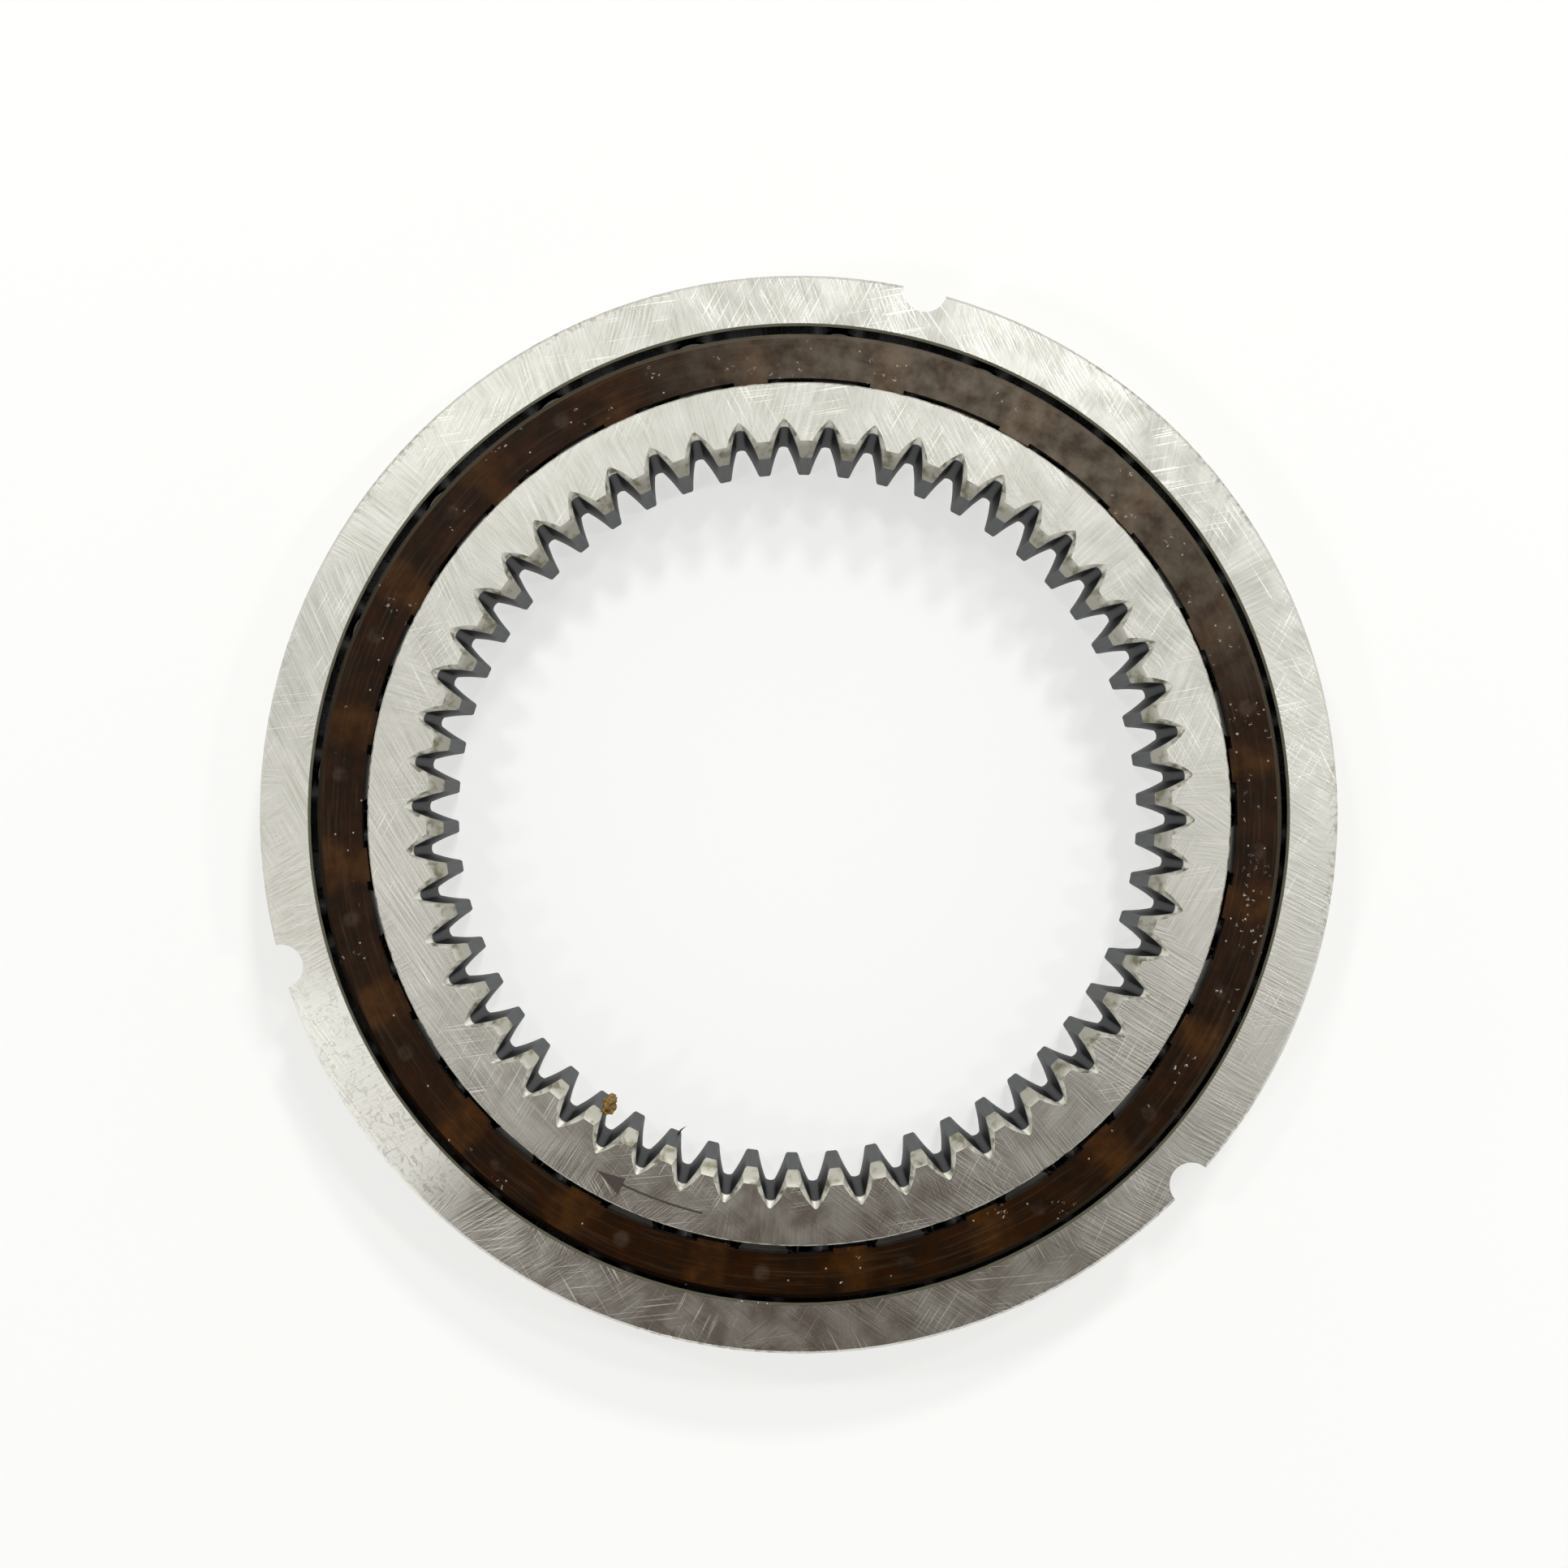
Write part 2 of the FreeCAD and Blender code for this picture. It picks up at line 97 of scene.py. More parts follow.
# %% Colour and node helpers
def linear(hex_colour):
    """An sRGB colour such as "c8c2b6" as linear red, green, blue and alpha."""
    shares = [int(hex_colour[i:i + 2], 16) / 255 for i in (0, 2, 4)]
    return [s / 12.92 if s <= 0.04045 else ((s + 0.055) / 1.055) ** 2.4 for s in shares] + [1.0]


def add(tree, kind, inputs=(), **settings):
    """Adds a node. inputs maps a socket's name or number to a value, or to another node's output."""
    node = tree.nodes.new("ShaderNode" + kind)
    for name, value in settings.items():
        setattr(node, name, value)
    sockets = [socket for socket in node.inputs if socket.enabled]
    for key, value in dict(inputs).items():
        socket = sockets[key] if isinstance(key, int) else next(s for s in sockets if s.name == key)
        if isinstance(value, bpy.types.NodeSocket):
            tree.links.new(value, socket)
        else:
            socket.default_value = value
    return next((out for out in node.outputs if out.enabled), None)


def new_material(name):
    material = bpy.data.materials.new(name)
    material.use_nodes = True
    material.node_tree.nodes.clear()
    return material, material.node_tree


def grained(name, grain, detail, tones, roughness, metallic=1.0):
    """A material with a grain of a size in mm along X, Y and Z, between two tones and two roughnesses."""
    material, tree = new_material(name)
    place = add(tree, "TexCoord").node.outputs["Object"]
    strokes = add(tree, "Mapping", {"Vector": place, "Scale": [side * MM for side in grain]},
                  vector_type="TEXTURE")
    strokes = add(tree, "TexNoise", {"Vector": strokes, "Scale": 1, "Detail": detail})
    tone = add(tree, "Mix", {"Factor": strokes, "A": linear(tones[0]), "B": linear(tones[1])},
               data_type="RGBA")
    rough = add(tree, "MapRange", {"Value": strokes, "To Min": roughness[0], "To Max": roughness[1]})
    shader = add(tree, "BsdfPrincipled", {"Base Color": tone, "Metallic": metallic, "Roughness": rough})
    add(tree, "OutputMaterial", {"Surface": shader})
    return material


# %% [markdown]
# ## Where a point lies on a round part
#
# Grinding marks, bridges and stains on a ring follow its radius and its angle. An angle has a seam where it
# jumps from one end of its range to the other, and a pattern drawn on it tears there. So a pattern that
# has to run all the way round is drawn on the unit vector that points outwards, which has no seam. The
# angle is kept for what repeats a whole number of times, such as the pockets of the cage.

# %% Round coordinates
def round_place(tree):
    """A point's place, the unit vector that points outwards at it, and its radius."""
    place = add(tree, "TexCoord").node.outputs["Object"]
    flat = add(tree, "VectorMath", {0: place, 1: (1, 1, 0)}, operation="MULTIPLY")
    outwards = add(tree, "VectorMath", {0: flat}, operation="NORMALIZE")
    radius = add(tree, "VectorMath", {0: flat}, operation="LENGTH").node.outputs["Value"]
    return place, outwards, radius


def levelness(tree):
    """1 where a surface lies flat, 0 where it stands upright, and between them on a bevel."""
    normal = add(tree, "TexCoord").node.outputs["Normal"]
    upwards = add(tree, "SeparateXYZ", {0: normal}).node.outputs["Z"]
    return add(tree, "Math", {0: upwards}, operation="ABSOLUTE")


# %% [markdown]
# ## Ground steel
#
# Both rings are bearing steel, ground flat on a turning table. The wheel leaves fine marks that run
# outwards, and later passes leave others across them, each an arc of a large circle. Every mark is a shallow
# groove, so it tilts the surface a few degrees and mirrors another part of the room. That is why such a face
# looks brushed with light and dark strokes, above all where the room changes from bright to dark.
#
# So the marks go into the bump, and their ridges are painted a little paler too, a painted highlight which
# keeps them in sight where the room is even. A set of arcs is a noise drawn on the distance from the
# circle's centre, far outside the part, and on the way round it. A coarse noise lets each set show in its
# own patches. Real marks are a few hundredths of a millimetre wide, too fine to show here, so they are drawn
# about 0.2 mm wide.

# %% Grinding marks
ARC_SETS = [
    # centre of the circle in mm, length and width of a mark in mm
    ((-95, 40), 4.5, 0.22),
    ((70, 95), 5.5, 0.2),
]
OUTWARD_LENGTH, OUTWARD_WIDTH = 4 * MM, 0.2 * MM
PATCH_SIZE = 11 * MM
PATCH_START, PATCH_FULL = 0.44, 0.56


def arcs(tree, place, centre, length, width):
    """Noise drawn out into marks of a length and width in mm, along circles round a centre."""
    middle = (centre[0] * MM, centre[1] * MM, 0)
    from_centre = add(tree, "VectorMath", {0: place, 1: middle}, operation="SUBTRACT")
    from_centre = add(tree, "VectorMath", {0: from_centre, 1: (1, 1, 0)}, operation="MULTIPLY")
    parts = add(tree, "SeparateXYZ", {0: from_centre}).node.outputs
    distance = add(tree, "VectorMath", {0: from_centre}, operation="LENGTH").node.outputs["Value"]
    # The angle is measured from the far side of the circle, so that its seam isn't on the part
    back = (parts["Y"], parts["X"]) if centre[0] < 0 else (parts["X"], parts["Y"])
    turn = add(tree, "Math", {0: back[0], 1: back[1]}, operation="ARCTAN2")
    across = add(tree, "Math", {0: distance, 1: 1 / (width * MM)}, operation="MULTIPLY")
    along = add(tree, "Math", {0: turn, 1: math.hypot(*centre) / length}, operation="MULTIPLY")
    cell = add(tree, "CombineXYZ", {"X": across, "Y": along})
    marks = add(tree, "TexNoise", {"Vector": cell, "Scale": 1, "Detail": 2, "Roughness": 0.6},
                noise_dimensions="2D")
    return add(tree, "MapRange", {"Value": marks, "From Min": 0.3, "From Max": 0.7})


def outward_marks(tree, outwards, radius):
    """Noise drawn out into marks along the radius."""
    around = add(tree, "VectorMath", {0: outwards, "Scale": BORE / OUTWARD_WIDTH}, operation="SCALE")
    inwards = add(tree, "Math", {0: radius, 1: 1 / OUTWARD_LENGTH}, operation="MULTIPLY")
    along = add(tree, "CombineXYZ", {"Z": inwards})
    cell = add(tree, "VectorMath", {0: around, 1: along}, operation="ADD")
    marks = add(tree, "TexNoise", {"Vector": cell, "Scale": 1, "Detail": 2, "Roughness": 0.6})
    return add(tree, "MapRange", {"Value": marks, "From Min": 0.3, "From Max": 0.7})


def face_patches(tree, place):
    """Three coarse noises in one, each of which says where something shows on the face."""
    coarse = add(tree, "TexNoise", {"Vector": place, "Scale": 1 / PATCH_SIZE, "Detail": 2},
                 noise_dimensions="2D").node.outputs["Color"]
    return add(tree, "SeparateColor", {0: coarse}).node.outputs


# %% [markdown]
# ## Scratches and tumbling
#
# Knocks in a box with other parts leave single scratches. One catches the light as a thin bright line,
# because its walls face every way, so each is also painted as a pale line, a painted highlight, besides its
# roughness and bump. They come from the same stretched noise as the marks, cut off so high that only the
# tops of its ridges are left. Where parts lay against each other for long, the face is peppered with small
# dents instead.

# %% Scratches
SCRATCH_SETS = [
    # direction in degrees, length and width in mm, which coarse noise, its level where they start
    (22, 7, 0.12, 0, 0.50),
    (74, 5, 0.12, 1, 0.52),
    (133, 8, 0.13, 2, 0.50),
]
SWAY, SWAY_LENGTH = 2.5 * MM, 25 * MM
DENT_SIZE = 0.3 * MM
CLOUD_SIZE = 3.5 * MM


def single_scratches(tree, place, patches):
    """How deep in a scratch a point lies, from 0 to 1."""
    sway = add(tree, "TexNoise", {"Vector": place, "Scale": 1 / SWAY_LENGTH, "Detail": 0},
               noise_dimensions="2D").node.outputs["Color"]
    bent = add(tree, "VectorMath", {0: sway, 1: (SWAY, SWAY, 0), 2: place}, operation="MULTIPLY_ADD")
    deepest = None
    for turn, length, width, patch, start in SCRATCH_SETS:
        along = add(tree, "Mapping", {"Vector": bent, "Rotation": (0, 0, math.radians(turn)),
                                      "Scale": (length * MM, width * MM, 1)}, vector_type="TEXTURE")
        line = add(tree, "TexNoise", {"Vector": along, "Scale": 1, "Detail": 0}, noise_dimensions="2D")
        line = add(tree, "MapRange", {"Value": line, "From Min": 0.7, "From Max": 0.86, "To Max": 0.6})
        where = add(tree, "MapRange", {"Value": patches[patch], "From Min": start, "From Max": start + 0.1})
        line = add(tree, "Math", {0: line, 1: where}, operation="MULTIPLY")
        deepest = add(tree, "Math", {0: deepest or 0.0, 1: line}, operation="MAXIMUM")
    return deepest


def ground_face(tree, place, outwards, radius):
    """Colour, roughness and height of a ground face with its marks, scratches and dents, and painted
    highlights on the marks and scratches.
    """
    patches = face_patches(tree, place)
    marks = outward_marks(tree, outwards, radius)
    for patch, (centre, length, width) in enumerate(ARC_SETS):
        where = add(tree, "MapRange", {"Value": patches[patch], "From Min": PATCH_START,
                                       "From Max": PATCH_FULL})
        curved = arcs(tree, place, centre, length, width)
        marks = add(tree, "Mix", {"Factor": where, "A": marks, "B": curved})
    scratches_and_highlight = single_scratches(tree, place, patches)
    dents = add(tree, "TexNoise", {"Vector": place, "Scale": 1 / DENT_SIZE, "Detail": 1},
                noise_dimensions="2D")
    where = add(tree, "MapRange", {"Value": patches[2], "From Min": 0.5, "From Max": 0.62})
    dents = add(tree, "Math", {0: dents, 1: where}, operation="MULTIPLY")

    cloud = add(tree, "TexNoise", {"Vector": place, "Scale": 1 / CLOUD_SIZE, "Detail": 4},
                noise_dimensions="2D")
    cloud = add(tree, "MapRange", {"Value": cloud, "From Min": 0.35, "From Max": 0.65})
    tone = add(tree, "Mix", {"Factor": cloud, "A": linear("bbbab2"), "B": linear("c4c3bc")},
               data_type="RGBA")
    # Painted highlights: paler ridges of the marks and paler scratches
    mark_highlight = add(tree, "Math", {0: marks, 1: 0.75}, operation="MULTIPLY")
    tone = add(tree, "Mix", {"Factor": mark_highlight, "A": tone, "B": linear("dddcd6")}, data_type="RGBA")
    tone = add(tree, "Mix", {"Factor": scratches_and_highlight, "A": tone, "B": linear("ecebe4")}, data_type="RGBA")
    rough = add(tree, "MapRange", {"Value": cloud, "To Min": 0.21, "To Max": 0.26})
    rough = add(tree, "Mix", {"Factor": scratches_and_highlight, "A": rough, "B": 0.4})
    height = add(tree, "Math", {0: dents, 1: 0.1, 2: marks}, operation="MULTIPLY_ADD")
    height = add(tree, "Math", {0: scratches_and_highlight, 1: -0.5, 2: height}, operation="MULTIPLY_ADD")
    return tone, rough, height


# %% [markdown]
# ## The outer race
#
# Its two faces are ground as above. Its rim was ground round, so the marks there run round it, and its
# outer edge has been knocked: little dark nicks sit along it in places. Its bore is a hardened track for the
# rollers, wet with old oil and painted nearly black as the shade in the narrow gap, and the bevel between
# the two is dull. On one side, where the race lay on another part, its face is fretted: a pale, crackled
# patch.
#
# The nodes tell these surfaces apart by how level they lie and by their radius.

# %% Outer race
BUMP_DEPTH = 0.009 * MM
NICK_SIZE, KNOCKED_SIZE = 0.5 * MM, 14 * MM
NICK_REACH, NICK_FULL = 0.9 * MM, 0.2 * MM
FRETTED_CLOCK = 148
CRACKLE_SIZE = 0.9 * MM
RIM_GRAIN = (6 * MM, 6 * MM, 0.15 * MM)
BORE_BEVEL = 0.24 * MM


def ground_race_steel():
    material, tree = new_material("ground_race_steel")
    place, outwards, radius = round_place(tree)
    level = levelness(tree)
    tone, rough, height = ground_face(tree, place, outwards, radius)

    nicks = add(tree, "TexNoise", {"Vector": place, "Scale": 1 / NICK_SIZE, "Detail": 2})
    nicks = add(tree, "MapRange", {"Value": nicks, "From Min": 0.5, "From Max": 0.6, "To Max": 0.5})
    knocked = add(tree, "TexNoise", {"Vector": place, "Scale": 1 / KNOCKED_SIZE, "Detail": 1})
    knocked = add(tree, "MapRange", {"Value": knocked, "From Min": 0.5, "From Max": 0.6})
    edge = add(tree, "MapRange", {"Value": radius, "From Min": RIM - NICK_REACH,
                                  "From Max": RIM - NICK_FULL})
    nicks = add(tree, "Math", {0: nicks, 1: knocked}, operation="MULTIPLY")
    nicks = add(tree, "Math", {0: nicks, 1: edge}, operation="MULTIPLY")
    tone = add(tree, "Mix", {"Factor": nicks, "A": tone, "B": linear("6f6c5a")}, data_type="RGBA")

    side = add(tree, "VectorMath", {0: outwards, 1: on_face(FRETTED_CLOCK, 1, 0)},
               operation="DOT_PRODUCT").node.outputs["Value"]
    side = add(tree, "MapRange", {"Value": side, "From Min": 0.955, "From Max": 0.985})
    crackle = add(tree, "TexNoise", {"Vector": place, "Scale": 1 / CRACKLE_SIZE, "Detail": 5,
                                     "Distortion": 2.0}, noise_dimensions="2D")
    crackle = add(tree, "MapRange", {"Value": crackle, "From Min": 0.34, "From Max": 0.5, "To Min": 0.35})
    fretted = add(tree, "Math", {0: side, 1: crackle}, operation="MULTIPLY")
    tone = add(tree, "Mix", {"Factor": fretted, "A": tone, "B": linear("e8e8e2")}, data_type="RGBA")
    rough = add(tree, "Mix", {"Factor": fretted, "A": rough, "B": 0.34})

    upright = add(tree, "MapRange", {"Value": level, "From Min": 0.6, "From Max": 0.2})
    rings = add(tree, "Mapping", {"Vector": place, "Scale": RIM_GRAIN}, vector_type="TEXTURE")
    rings = add(tree, "TexNoise", {"Vector": rings, "Scale": 1, "Detail": 2})
    rim_tone = add(tree, "Mix", {"Factor": rings, "A": linear("a8a499"), "B": linear("d3cfc5")},
                   data_type="RGBA")
    tone = add(tree, "Mix", {"Factor": upright, "A": tone, "B": rim_tone}, data_type="RGBA")

    inside = add(tree, "MapRange", {"Value": radius, "From Min": BORE + BORE_BEVEL,
                                    "From Max": BORE + 0.75 * BORE_BEVEL})
    tone = add(tree, "Mix", {"Factor": inside, "A": tone, "B": linear("5b594c")}, data_type="RGBA")
    # Painted shade: the bore nearly black in the narrow gap, over old oil
    oily_bore_shade = add(tree, "Math", {0: inside, 1: upright}, operation="MULTIPLY")
    tone = add(tree, "Mix", {"Factor": oily_bore_shade, "A": tone, "B": linear("16140f")}, data_type="RGBA")

    bump = add(tree, "Bump", {"Strength": 0.5, "Distance": BUMP_DEPTH, "Height": height})
    shader = add(tree, "BsdfPrincipled", {"Base Color": tone, "Metallic": 1.0, "Roughness": rough,
                                          "Normal": bump})
    add(tree, "OutputMaterial", {"Surface": shader})
    return material


def dress(names, material):
    """Puts a material in every slot of some nodes of the model."""
    for name in names:
        for slot in nodes[name].material_slots:
            slot.material = material
    print(material.name, "with", len(material.node_tree.nodes), "nodes, on", len(names), "of the pieces")


dress(["outer_race"], ground_race_steel())

# %% [markdown]
# ## The ring gear
#
# The faces are the same ground steel. The teeth were cut by a shaping tool and hardened, and nothing was
# ground after that, so their flanks are a dark blue grey with an oil film, and painted darker still as
# shade, most of all from the tips into the roots, which are nearly black. The bevels at both ends of the
# teeth were brushed to take the burr off. They are the palest lines on the part, stained a little by grease.

# %% Ring gear
STAIN_SIZE = 0.9 * MM
DULL_END, BRIGHT_START = TOOTH_TIP + 0.9 * MM, TOOTH_TIP + 1.8 * MM
STROKE_GRAIN = (0.3 * MM, 0.3 * MM, 8 * MM)
BRUSHED_START, BRUSHED_FULL = 0.8 * MM, 0.5 * MM
CAM_DEPTH = 2.4 * MM


def shaped_gear_steel():
    material, tree = new_material("shaped_gear_steel")
    place, outwards, radius = round_place(tree)
    level = levelness(tree)
    tone, rough, height = ground_face(tree, place, outwards, radius)

    # Bevels: neither level nor upright
    bevel = add(tree, "MapRange", {"Value": level, "From Min": 0.98, "From Max": 0.9})
    stain = add(tree, "TexNoise", {"Vector": place, "Scale": 1 / STAIN_SIZE, "Detail": 3})
    stain = add(tree, "MapRange", {"Value": stain, "From Min": 0.48, "From Max": 0.68})
    rubbed = add(tree, "MapRange", {"Value": radius, "From Min": DULL_END, "From Max": BRIGHT_START})
    bright = add(tree, "Mix", {"Factor": rubbed, "A": linear("b1afa4"), "B": linear("e4e3da")},
                 data_type="RGBA")
    bright = add(tree, "Mix", {"Factor": stain, "A": bright, "B": linear("817e6b")}, data_type="RGBA")
    tone = add(tree, "Mix", {"Factor": bevel, "A": tone, "B": bright}, data_type="RGBA")

    # Flanks, tips and roots: upright, with the shaping tool's marks along the axis, painted dark as shade
    upright = add(tree, "MapRange", {"Value": level, "From Min": 0.5, "From Max": 0.25})
    strokes = add(tree, "Mapping", {"Vector": place, "Scale": STROKE_GRAIN}, vector_type="TEXTURE")
    strokes = add(tree, "TexNoise", {"Vector": strokes, "Scale": 1, "Detail": 2})
    tip = add(tree, "Mix", {"Factor": strokes, "A": linear("313436"), "B": linear("505355")},
              data_type="RGBA")
    shaded_root = add(tree, "Mix", {"Factor": strokes, "A": linear("181a1c"), "B": linear("2f3235")},
               data_type="RGBA")
    # Painted shade: darker from the tips into the roots
    depth = add(tree, "MapRange", {"Value": radius, "From Min": TOOTH_TIP + 0.1 * MM,
                                   "From Max": TOOTH_ROOT - 0.5 * MM})
    flank = add(tree, "Mix", {"Factor": depth, "A": tip, "B": shaded_root}, data_type="RGBA")
    # The flanks' ends were brushed with the bevels
    height_above = add(tree, "SeparateXYZ", {0: place}).node.outputs["Z"]
    from_middle = add(tree, "Math", {0: height_above, 1: FACE_HEIGHT / 2}, operation="SUBTRACT")
    from_middle = add(tree, "Math", {0: from_middle}, operation="ABSOLUTE")
    brushed = add(tree, "MapRange", {"Value": from_middle, "From Min": FACE_HEIGHT / 2 - BRUSHED_START,
                                     "From Max": FACE_HEIGHT / 2 - BRUSHED_FULL})
    flank = add(tree, "Mix", {"Factor": brushed, "A": flank, "B": linear("e0dfd6")}, data_type="RGBA")
    tone = add(tree, "Mix", {"Factor": upright, "A": tone, "B": flank}, data_type="RGBA")

    # Outside of the ring, wet with oil and painted nearly black as the shade in the gap beside the cage
    oily_gap_shade = add(tree, "MapRange", {"Value": radius, "From Min": GEAR_OUTSIDE - CAM_DEPTH,
                                     "From Max": GEAR_OUTSIDE - CAM_DEPTH + 0.1 * MM})
    oily_gap_shade = add(tree, "Math", {0: oily_gap_shade, 1: upright}, operation="MULTIPLY")
    tone = add(tree, "Mix", {"Factor": oily_gap_shade, "A": tone, "B": linear("191712")}, data_type="RGBA")

    bump = add(tree, "Bump", {"Strength": 0.5, "Distance": BUMP_DEPTH, "Height": height})
    rough = add(tree, "Mix", {"Factor": bevel, "A": rough, "B": 0.55})
    shader = add(tree, "BsdfPrincipled", {"Base Color": tone, "Metallic": 1.0, "Roughness": rough,
                                          "Normal": bump})
    add(tree, "OutputMaterial", {"Surface": shader})
    return material


dress(["ring_gear"], shaped_gear_steel())

# %% [markdown]
# ## The amber cage
#
# The cage is moulded nylon, dark amber and a little translucent, under a film of oil. Light goes into it
# where it is solid, at the bridges between two rollers, and is lost where a dark roller lies under a thin
# rim. So the bridges glow a little, and the pockets stay nearly black. True translucency would need many
# samples for an effect this small, so the two tones are drawn: the angle, counted in pockets, is folded
# with a ping-pong, which gives 0 at each bridge and one half between two bridges.
#
# What lies on it is uneven. Dried grease is a grey veil with a painted sheen in it, both thickest towards
# the upper right, on the side of the upper lamps, where the bevels of the rims are painted light as a
# highlight. The oil film is cloudy in its roughness and bump, its drops have painted glints, and a little
# dust sticks in it.

# %% Amber cage
# The model's angles of the first bridge and the first roller
BRIDGE_ANGLE = math.radians(2.03)
ROLLER_ANGLE = math.radians(8.75)
PIN_MARK_RADIUS = 41.9 * MM
PIN_MARK_REACH, PIN_MARK_FULL = 0.9 * MM, 0.5 * MM
SHEEN_CLOCK = 298
WAVER_SIZE, WAVER = 2.4 * MM, 0.34
SMOKE_SIZE, SMEAR_SIZE, WAVE_SIZE = 2.5 * MM, 2.2 * MM, 0.8 * MM
STREAK_LENGTH, STREAK_WIDTH = 6 * MM, 0.25 * MM
DROP_SIZE, DROP_GROUP_SIZE, DUST_SIZE = 0.5 * MM, 4 * MM, 1.5 * MM
DROP_BEND, DROP_BEND_SIZE = 0.7 * MM, 0.25 * MM
FILM_BUMP = 0.015 * MM


def amber_nylon():
    material, tree = new_material("amber_nylon")
    place, outwards, radius = round_place(tree)
    level = levelness(tree)
    parts = add(tree, "SeparateXYZ", {0: place}).node.outputs
    angle = add(tree, "Math", {0: parts["Y"], 1: parts["X"]}, operation="ARCTAN2")
    pockets_per_radian = ROLLERS / math.tau
    waver = add(tree, "TexNoise", {"Vector": place, "Scale": 1 / WAVER_SIZE, "Detail": 4})
    waver = add(tree, "Math", {0: waver, 1: WAVER, 2: -WAVER / 2 - BRIDGE_ANGLE * pockets_per_radian},
                operation="MULTIPLY_ADD")
    counted = add(tree, "Math", {0: angle, 1: pockets_per_radian, 2: waver}, operation="MULTIPLY_ADD")
    off_bridge = add(tree, "Math", {0: counted, 1: 0.5}, operation="PINGPONG")
    bridge = add(tree, "MapRange", {"Value": off_bridge, "From Min": 0.19, "From Max": 0.05})

    smoke = add(tree, "TexNoise", {"Vector": place, "Scale": 1 / SMOKE_SIZE, "Detail": 5, "Roughness": 0.6},
                noise_dimensions="2D")
    smoke = add(tree, "MapRange", {"Value": smoke, "From Min": 0.35, "From Max": 0.65})
    deep = add(tree, "Mix", {"Factor": smoke, "A": linear("160900"), "B": linear("261203")},
               data_type="RGBA")
    glow = add(tree, "Mix", {"Factor": smoke, "A": linear("281302"), "B": linear("3f250a")},
               data_type="RGBA")
    tone = add(tree, "Mix", {"Factor": bridge, "A": deep, "B": glow}, data_type="RGBA")

    # The bevels at the rims are painted light on the side of the upper lamps, a painted highlight, and dark
    # elsewhere, a painted shade
    bevel = add(tree, "MapRange", {"Value": level, "From Min": 0.98, "From Max": 0.9})
    side = add(tree, "VectorMath", {0: outwards, 1: on_face(SHEEN_CLOCK, 1, 0)},
               operation="DOT_PRODUCT").node.outputs["Value"]
    sheen_side = add(tree, "MapRange", {"Value": side, "From Min": -0.9, "From Max": 0.3})
    rim_tone = add(tree, "Mix", {"Factor": sheen_side, "A": linear("1c120a"), "B": linear("4f483c")},
                   data_type="RGBA")
    tone = add(tree, "Mix", {"Factor": bevel, "A": tone, "B": rim_tone}, data_type="RGBA")
    # Upright walls are painted nearly black, as shade in the gaps beside the rings
    upright = add(tree, "MapRange", {"Value": level, "From Min": 0.5, "From Max": 0.25})
    tone = add(tree, "Mix", {"Factor": upright, "A": tone, "B": linear("0d0604")}, data_type="RGBA")

    # Round marks of the mould's ejector pins, one over each roller
    counted = add(tree, "Math", {0: angle, 1: pockets_per_radian, 2: -ROLLER_ANGLE * pockets_per_radian},
                  operation="MULTIPLY_ADD")
    beside = add(tree, "Math", {0: counted, 1: 0.5}, operation="PINGPONG")
    beside = add(tree, "Math", {0: beside, 1: PIN_MARK_RADIUS / pockets_per_radian}, operation="MULTIPLY")
    beyond = add(tree, "Math", {0: radius, 1: PIN_MARK_RADIUS}, operation="SUBTRACT")
    offset = add(tree, "CombineXYZ", {"X": beside, "Y": beyond})
    distance = add(tree, "VectorMath", {0: offset}, operation="LENGTH").node.outputs["Value"]
    pin_mark = add(tree, "MapRange", {"Value": distance, "From Min": PIN_MARK_REACH,
                                      "From Max": PIN_MARK_FULL})
    frost = add(tree, "Math", {0: pin_mark, 1: smoke}, operation="MULTIPLY")
    frost = add(tree, "Math", {0: frost, 1: 0.12}, operation="MULTIPLY")
    tone = add(tree, "Mix", {"Factor": frost, "A": tone, "B": linear("7d7267")}, data_type="RGBA")

    # A veil of dried grease with a painted sheen, cloudy, and thickest on the side of the upper lamps
    sheen_reach = add(tree, "MapRange", {"Value": side, "From Min": 0.65, "From Max": 1.0, "To Min": 0.01,
                                   "To Max": 0.55})
    smear = add(tree, "TexNoise", {"Vector": place, "Scale": 1 / SMEAR_SIZE, "Detail": 6, "Roughness": 0.6},
                noise_dimensions="2D")
    smear = add(tree, "MapRange", {"Value": smear, "From Min": 0.32, "From Max": 0.68, "To Min": 0.3})
    grease_and_sheen = add(tree, "Math", {0: sheen_reach, 1: smear}, operation="MULTIPLY")
    tone = add(tree, "Mix", {"Factor": grease_and_sheen, "A": tone, "B": linear("877d6e")}, data_type="RGBA")

    # Fine streaks run along the cage, where it was wiped
    around = add(tree, "VectorMath", {0: outwards, "Scale": PIN_MARK_RADIUS / STREAK_LENGTH},
                 operation="SCALE")
    across = add(tree, "Math", {0: radius, 1: 1 / STREAK_WIDTH}, operation="MULTIPLY")
    across = add(tree, "CombineXYZ", {"Z": across})
    cell = add(tree, "VectorMath", {0: around, 1: across}, operation="ADD")
    streaks = add(tree, "TexNoise", {"Vector": cell, "Scale": 1, "Detail": 3})
    streaks = add(tree, "MapRange", {"Value": streaks, "From Min": 0.52, "From Max": 0.75, "To Max": 0.13})
    tone = add(tree, "Mix", {"Factor": streaks, "A": tone, "B": linear("6b5a48")}, data_type="RGBA")
